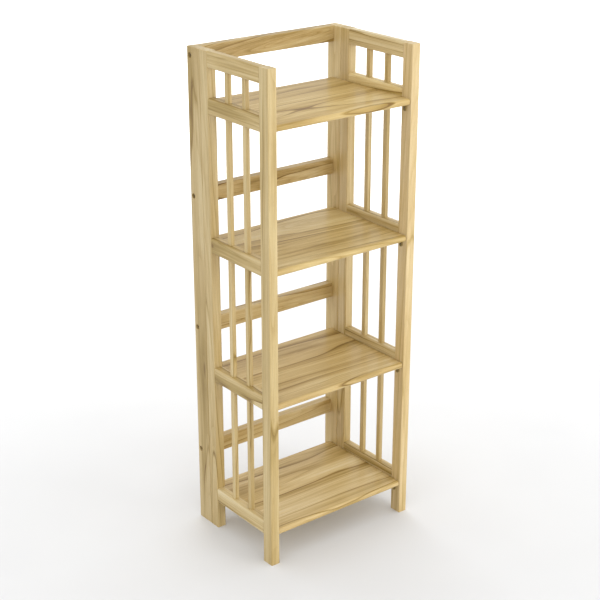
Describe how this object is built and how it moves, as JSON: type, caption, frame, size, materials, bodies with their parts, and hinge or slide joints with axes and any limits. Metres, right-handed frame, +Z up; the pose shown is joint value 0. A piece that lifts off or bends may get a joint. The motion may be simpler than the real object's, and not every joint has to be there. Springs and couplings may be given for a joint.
{
  "type": "folding bookcase",
  "caption": "Narrow open wooden bookcase with slatted side frames hinged to a railed back frame, and shelves that swing up on pins so that it folds flat.",
  "frame": {"origin": "on the floor, under the middle of the footprint", "axes": "+Z up, +X to the right and +Y towards the back as seen from the front"},
  "size_m": [0.408, 0.2874, 1.143],
  "materials": {
    "frame_wood": "clear satin lacquer on light straight-grained hardwood",
    "shelf_wood": "clear satin lacquer on light hardwood with broad figure",
    "rest_plastic": "moulded brown plastic",
    "screw_steel": "darkened steel",
    "hinge_steel": "yellow zinc-plated steel"
  },
  "bodies": {
    "frame": {"back_rail_1": "frame_wood", "back_rail_2": "frame_wood", "back_rail_3": "frame_wood", "back_rail_4": "frame_wood", "back_rail_screws_left": "screw_steel", "back_rail_screws_right": "screw_steel", "back_stile_left": "frame_wood", "back_stile_right": "frame_wood", "front_post_left": "frame_wood", "front_post_right": "frame_wood", "hinge_leaves_post_left": "hinge_steel", "hinge_leaves_post_right": "hinge_steel", "hinge_leaves_stile_left": "hinge_steel", "hinge_leaves_stile_right": "hinge_steel", "hinge_pins_left": "hinge_steel", "hinge_pins_right": "hinge_steel", "hinge_screws_left": "hinge_steel", "hinge_screws_right": "hinge_steel", "rear_post_left": "frame_wood", "rear_post_right": "frame_wood", "shelf_pivot_pins_left": "screw_steel", "shelf_pivot_pins_right": "screw_steel", "shelf_rest_screws_left": "screw_steel", "shelf_rest_screws_right": "screw_steel", "shelf_rests_left": "rest_plastic", "shelf_rests_right": "rest_plastic", "side_rail_1_left": "frame_wood", "side_rail_1_right": "frame_wood", "side_rail_2_left": "frame_wood", "side_rail_2_right": "frame_wood", "side_rail_3_left": "frame_wood", "side_rail_3_right": "frame_wood", "side_rail_4_left": "frame_wood", "side_rail_4_right": "frame_wood", "side_rail_5_left": "frame_wood", "side_rail_5_right": "frame_wood", "side_slat_1_front_left": "frame_wood", "side_slat_1_front_right": "frame_wood", "side_slat_1_rear_left": "frame_wood", "side_slat_1_rear_right": "frame_wood", "side_slat_2_front_left": "frame_wood", "side_slat_2_front_right": "frame_wood", "side_slat_2_rear_left": "frame_wood", "side_slat_2_rear_right": "frame_wood", "side_slat_3_front_left": "frame_wood", "side_slat_3_front_right": "frame_wood", "side_slat_3_rear_left": "frame_wood", "side_slat_3_rear_right": "frame_wood", "side_slat_4_front_left": "frame_wood", "side_slat_4_front_right": "frame_wood", "side_slat_4_rear_left": "frame_wood", "side_slat_4_rear_right": "frame_wood"},
    "folding_shelf_1": {"shelf_1": "shelf_wood"},
    "folding_shelf_2": {"shelf_2": "shelf_wood"},
    "folding_shelf_3": {"shelf_3": "shelf_wood"},
    "folding_shelf_4": {"shelf_4": "shelf_wood"}
  },
  "joints": [
    {"name": "shelf_1_hinge", "type": "hinge", "parent": "frame", "child": "folding_shelf_1", "pos_m": [0, 0.11325, 0.0785], "axis": [-1, 0, 0], "range_deg": [0, 90]},
    {"name": "shelf_2_hinge", "type": "hinge", "parent": "frame", "child": "folding_shelf_2", "pos_m": [0, 0.11325, 0.39133], "axis": [-1, 0, 0], "range_deg": [0, 90]},
    {"name": "shelf_3_hinge", "type": "hinge", "parent": "frame", "child": "folding_shelf_3", "pos_m": [0, 0.11325, 0.70417], "axis": [-1, 0, 0], "range_deg": [0, 90]},
    {"name": "shelf_4_hinge", "type": "hinge", "parent": "frame", "child": "folding_shelf_4", "pos_m": [0, 0.11325, 1.017], "axis": [-1, 0, 0], "range_deg": [0, 90]}
  ]
}
